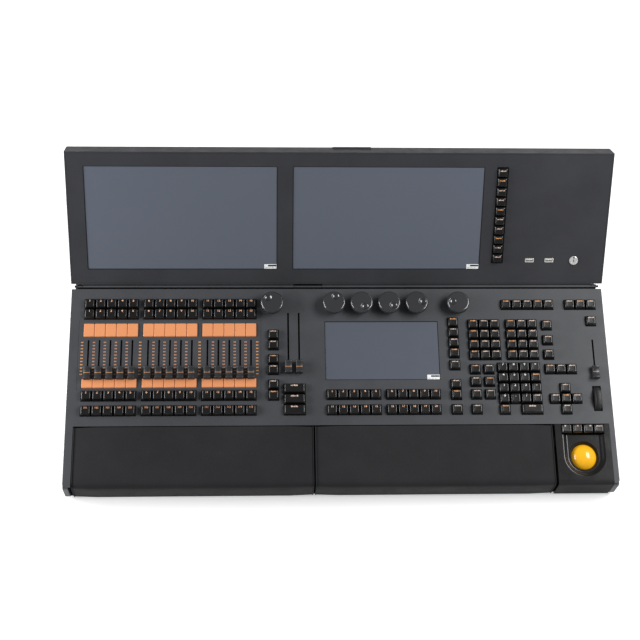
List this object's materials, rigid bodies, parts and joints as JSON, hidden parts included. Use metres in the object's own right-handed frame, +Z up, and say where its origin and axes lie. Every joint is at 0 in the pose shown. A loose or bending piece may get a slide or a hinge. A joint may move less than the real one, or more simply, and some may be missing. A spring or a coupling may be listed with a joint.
{
  "type": "lighting control desk",
  "caption": "Sloping stage lighting desk with a hinged twin touchscreen housing, key banks, faders, encoders, thumb wheel and trackball.",
  "frame": {"origin": "centre of the footprint, on the ground plane the rubber feet stand on", "axes": "+X to the right across the desk for a seated user, +Y to the rear, +Z up"},
  "size_m": [0.949, 0.6038, 0.2739],
  "materials": {
    "panel_paint": "fine-textured satin powder coat, dark blue-grey",
    "housing_paint": "fine-textured satin powder coat, dark grey",
    "rest_plastic": "soft-touch matt, near black",
    "key_plastic": "satin near-black keycap plastic",
    "lamp_plastic": "lit translucent amber",
    "cap_plastic": "satin dark grey",
    "knob_plastic": "smooth semi-gloss dark grey",
    "screen_glass": "smooth touch glass over a dark display",
    "ball_plastic": "polished amber resin",
    "black_plastic": "semi-gloss black",
    "bright_metal": "bright plated",
    "sheet_steel": "brushed",
    "rubber": "matt black",
    "board": "green circuit board"
  },
  "bodies": {
    "desk": {"base_tray": "panel_paint", "control_panel": "panel_paint", "fader_panel": "panel_paint", "rear_deck": "panel_paint", "hinge_rod": "sheet_steel", "rear_connector_panel": "sheet_steel", "left_wrist_rest": "rest_plastic", "center_wrist_rest": "rest_plastic", "trackball_pod": "rest_plastic", "trackball_ring": "black_plastic", "center_touchscreen": "screen_glass", "front_foot": "rubber", "rear_foot": "rubber", "main_board": "board", "power_supply": "sheet_steel"},
    "screen_housing": {"screen_rear_shell": "housing_paint", "screen_front_panel": "housing_paint", "left_touchscreen": "screen_glass", "right_touchscreen": "screen_glass", "usb_socket_pair": "bright_metal"},
    "executor_keys_upper": {"executor_keys_upper": "key_plastic"},
    "executor_lamps_upper": {"executor_lamps_upper": "lamp_plastic"},
    "executor_lamps_lower": {"executor_lamps_lower": "lamp_plastic"},
    "executor_keys_lower": {"executor_keys_lower": "key_plastic"},
    "playback_keys": {"playback_keys": "key_plastic"},
    "macro_keys": {"macro_keys": "key_plastic"},
    "view_keys": {"view_keys": "key_plastic"},
    "command_keys": {"command_keys": "key_plastic"},
    "number_keys": {"number_keys": "key_plastic"},
    "arrow_keys": {"arrow_keys": "key_plastic"},
    "top_row_keys": {"top_row_keys": "key_plastic"},
    "trackball_keys": {"trackball_keys": "key_plastic"},
    "screen_keys": {"screen_keys": "key_plastic"},
    "executor_fader_01": {"executor_fader_01": "cap_plastic"},
    "executor_fader_02": {"executor_fader_02": "cap_plastic"},
    "executor_fader_03": {"executor_fader_03": "cap_plastic"},
    "executor_fader_04": {"executor_fader_04": "cap_plastic"},
    "executor_fader_05": {"executor_fader_05": "cap_plastic"},
    "executor_fader_06": {"executor_fader_06": "cap_plastic"},
    "executor_fader_07": {"executor_fader_07": "cap_plastic"},
    "executor_fader_08": {"executor_fader_08": "cap_plastic"},
    "executor_fader_09": {"executor_fader_09": "cap_plastic"},
    "executor_fader_10": {"executor_fader_10": "cap_plastic"},
    "executor_fader_11": {"executor_fader_11": "cap_plastic"},
    "executor_fader_12": {"executor_fader_12": "cap_plastic"},
    "executor_fader_13": {"executor_fader_13": "cap_plastic"},
    "executor_fader_14": {"executor_fader_14": "cap_plastic"},
    "executor_fader_15": {"executor_fader_15": "cap_plastic"},
    "master_fader": {"master_fader": "cap_plastic"},
    "crossfader_a": {"crossfader_a": "cap_plastic"},
    "crossfader_b": {"crossfader_b": "cap_plastic"},
    "encoder_1": {"encoder_1": "knob_plastic"},
    "encoder_2": {"encoder_2": "knob_plastic"},
    "encoder_3": {"encoder_3": "knob_plastic"},
    "encoder_4": {"encoder_4": "knob_plastic"},
    "encoder_5": {"encoder_5": "knob_plastic"},
    "encoder_6": {"encoder_6": "knob_plastic"},
    "thumb_wheel": {"thumb_wheel": "black_plastic"},
    "trackball": {"trackball": "ball_plastic"},
    "key_lock": {"key_lock": "bright_metal"}
  },
  "joints": [
    {"name": "screen_tilt", "type": "hinge", "parent": "desk", "child": "screen_housing", "pos_m": [0, 0.05946, 0.09104], "axis": [1, 0, 0], "range_deg": [-47, 30]},
    {"name": "executor_keys_upper_press", "type": "slide", "parent": "desk", "child": "executor_keys_upper", "axis": [0, 0.1045, -0.9945], "range_m": [0, 0.003], "stiffness_N_per_m": 1500, "springref_m": -0.002},
    {"name": "executor_lamps_upper_press", "type": "slide", "parent": "desk", "child": "executor_lamps_upper", "axis": [0, 0.1045, -0.9945], "range_m": [0, 0.003], "stiffness_N_per_m": 1500, "springref_m": -0.002},
    {"name": "executor_lamps_lower_press", "type": "slide", "parent": "desk", "child": "executor_lamps_lower", "axis": [0, 0.1045, -0.9945], "range_m": [0, 0.003], "stiffness_N_per_m": 1500, "springref_m": -0.002},
    {"name": "executor_keys_lower_press", "type": "slide", "parent": "desk", "child": "executor_keys_lower", "axis": [0, 0.1045, -0.9945], "range_m": [0, 0.003], "stiffness_N_per_m": 1500, "springref_m": -0.002},
    {"name": "playback_keys_press", "type": "slide", "parent": "desk", "child": "playback_keys", "axis": [0, 0.1045, -0.9945], "range_m": [0, 0.003], "stiffness_N_per_m": 1500, "springref_m": -0.002},
    {"name": "macro_keys_press", "type": "slide", "parent": "desk", "child": "macro_keys", "axis": [0, 0.1045, -0.9945], "range_m": [0, 0.003], "stiffness_N_per_m": 1500, "springref_m": -0.002},
    {"name": "view_keys_press", "type": "slide", "parent": "desk", "child": "view_keys", "axis": [0, 0.1045, -0.9945], "range_m": [0, 0.003], "stiffness_N_per_m": 1500, "springref_m": -0.002},
    {"name": "command_keys_press", "type": "slide", "parent": "desk", "child": "command_keys", "axis": [0, 0.1045, -0.9945], "range_m": [0, 0.003], "stiffness_N_per_m": 1500, "springref_m": -0.002},
    {"name": "number_keys_press", "type": "slide", "parent": "desk", "child": "number_keys", "axis": [0, 0.1045, -0.9945], "range_m": [0, 0.003], "stiffness_N_per_m": 1500, "springref_m": -0.002},
    {"name": "arrow_keys_press", "type": "slide", "parent": "desk", "child": "arrow_keys", "axis": [0, 0.1045, -0.9945], "range_m": [0, 0.003], "stiffness_N_per_m": 1500, "springref_m": -0.002},
    {"name": "top_row_keys_press", "type": "slide", "parent": "desk", "child": "top_row_keys", "axis": [0, 0.1045, -0.9945], "range_m": [0, 0.003], "stiffness_N_per_m": 1500, "springref_m": -0.002},
    {"name": "trackball_keys_press", "type": "slide", "parent": "desk", "child": "trackball_keys", "axis": [0, 0.1045, -0.9945], "range_m": [0, 0.003], "stiffness_N_per_m": 1500, "springref_m": -0.002},
    {"name": "screen_keys_press", "type": "slide", "parent": "screen_housing", "child": "screen_keys", "axis": [0, 0.7361, -0.6769], "range_m": [0, 0.003], "stiffness_N_per_m": 1000, "springref_m": -0.002},
    {"name": "executor_fader_01_slide", "type": "slide", "parent": "desk", "child": "executor_fader_01", "axis": [0, 0.9945, 0.1045], "range_m": [0, 0.06]},
    {"name": "executor_fader_02_slide", "type": "slide", "parent": "desk", "child": "executor_fader_02", "axis": [0, 0.9945, 0.1045], "range_m": [0, 0.06]},
    {"name": "executor_fader_03_slide", "type": "slide", "parent": "desk", "child": "executor_fader_03", "axis": [0, 0.9945, 0.1045], "range_m": [0, 0.06]},
    {"name": "executor_fader_04_slide", "type": "slide", "parent": "desk", "child": "executor_fader_04", "axis": [0, 0.9945, 0.1045], "range_m": [0, 0.06]},
    {"name": "executor_fader_05_slide", "type": "slide", "parent": "desk", "child": "executor_fader_05", "axis": [0, 0.9945, 0.1045], "range_m": [0, 0.06]},
    {"name": "executor_fader_06_slide", "type": "slide", "parent": "desk", "child": "executor_fader_06", "axis": [0, 0.9945, 0.1045], "range_m": [0, 0.06]},
    {"name": "executor_fader_07_slide", "type": "slide", "parent": "desk", "child": "executor_fader_07", "axis": [0, 0.9945, 0.1045], "range_m": [0, 0.06]},
    {"name": "executor_fader_08_slide", "type": "slide", "parent": "desk", "child": "executor_fader_08", "axis": [0, 0.9945, 0.1045], "range_m": [0, 0.06]},
    {"name": "executor_fader_09_slide", "type": "slide", "parent": "desk", "child": "executor_fader_09", "axis": [0, 0.9945, 0.1045], "range_m": [0, 0.06]},
    {"name": "executor_fader_10_slide", "type": "slide", "parent": "desk", "child": "executor_fader_10", "axis": [0, 0.9945, 0.1045], "range_m": [0, 0.06]},
    {"name": "executor_fader_11_slide", "type": "slide", "parent": "desk", "child": "executor_fader_11", "axis": [0, 0.9945, 0.1045], "range_m": [0, 0.06]},
    {"name": "executor_fader_12_slide", "type": "slide", "parent": "desk", "child": "executor_fader_12", "axis": [0, 0.9945, 0.1045], "range_m": [0, 0.06]},
    {"name": "executor_fader_13_slide", "type": "slide", "parent": "desk", "child": "executor_fader_13", "axis": [0, 0.9945, 0.1045], "range_m": [0, 0.06]},
    {"name": "executor_fader_14_slide", "type": "slide", "parent": "desk", "child": "executor_fader_14", "axis": [0, 0.9945, 0.1045], "range_m": [0, 0.06]},
    {"name": "executor_fader_15_slide", "type": "slide", "parent": "desk", "child": "executor_fader_15", "axis": [0, 0.9945, 0.1045], "range_m": [0, 0.06]},
    {"name": "master_fader_slide", "type": "slide", "parent": "desk", "child": "master_fader", "axis": [0, 0.9945, 0.1045], "range_m": [0, 0.06]},
    {"name": "crossfader_a_slide", "type": "slide", "parent": "desk", "child": "crossfader_a", "axis": [0, 0.9945, 0.1045], "range_m": [0, 0.1]},
    {"name": "crossfader_b_slide", "type": "slide", "parent": "desk", "child": "crossfader_b", "axis": [0, 0.9945, 0.1045], "range_m": [0, 0.1]},
    {"name": "encoder_1_turn", "type": "hinge", "parent": "desk", "child": "encoder_1", "pos_m": [-0.1196, 0.02307, 0.08876], "axis": [0, -0.1045, 0.9945], "continuous": true},
    {"name": "encoder_2_turn", "type": "hinge", "parent": "desk", "child": "encoder_2", "pos_m": [-0.0101, 0.02307, 0.08876], "axis": [0, -0.1045, 0.9945], "continuous": true},
    {"name": "encoder_3_turn", "type": "hinge", "parent": "desk", "child": "encoder_3", "pos_m": [0.0389, 0.02307, 0.08876], "axis": [0, -0.1045, 0.9945], "continuous": true},
    {"name": "encoder_4_turn", "type": "hinge", "parent": "desk", "child": "encoder_4", "pos_m": [0.0879, 0.02307, 0.08876], "axis": [0, -0.1045, 0.9945], "continuous": true},
    {"name": "encoder_5_turn", "type": "hinge", "parent": "desk", "child": "encoder_5", "pos_m": [0.1369, 0.02307, 0.08876], "axis": [0, -0.1045, 0.9945], "continuous": true},
    {"name": "encoder_6_turn", "type": "hinge", "parent": "desk", "child": "encoder_6", "pos_m": [0.2107, 0.02307, 0.08876], "axis": [0, -0.1045, 0.9945], "continuous": true},
    {"name": "thumb_wheel_turn", "type": "hinge", "parent": "desk", "child": "thumb_wheel", "pos_m": [0.4482, -0.14946, 0.05755], "axis": [1, 0, 0], "continuous": true},
    {"name": "trackball_roll", "type": "hinge", "parent": "desk", "child": "trackball", "pos_m": [0.4175, -0.24995, 0.03633], "axis": [1, 0, 0], "continuous": true},
    {"name": "key_lock_turn", "type": "hinge", "parent": "screen_housing", "child": "key_lock", "pos_m": [0.4189, 0.09142, 0.12993], "axis": [0, -0.7361, 0.6769], "range_deg": [-90, 0]}
  ]
}
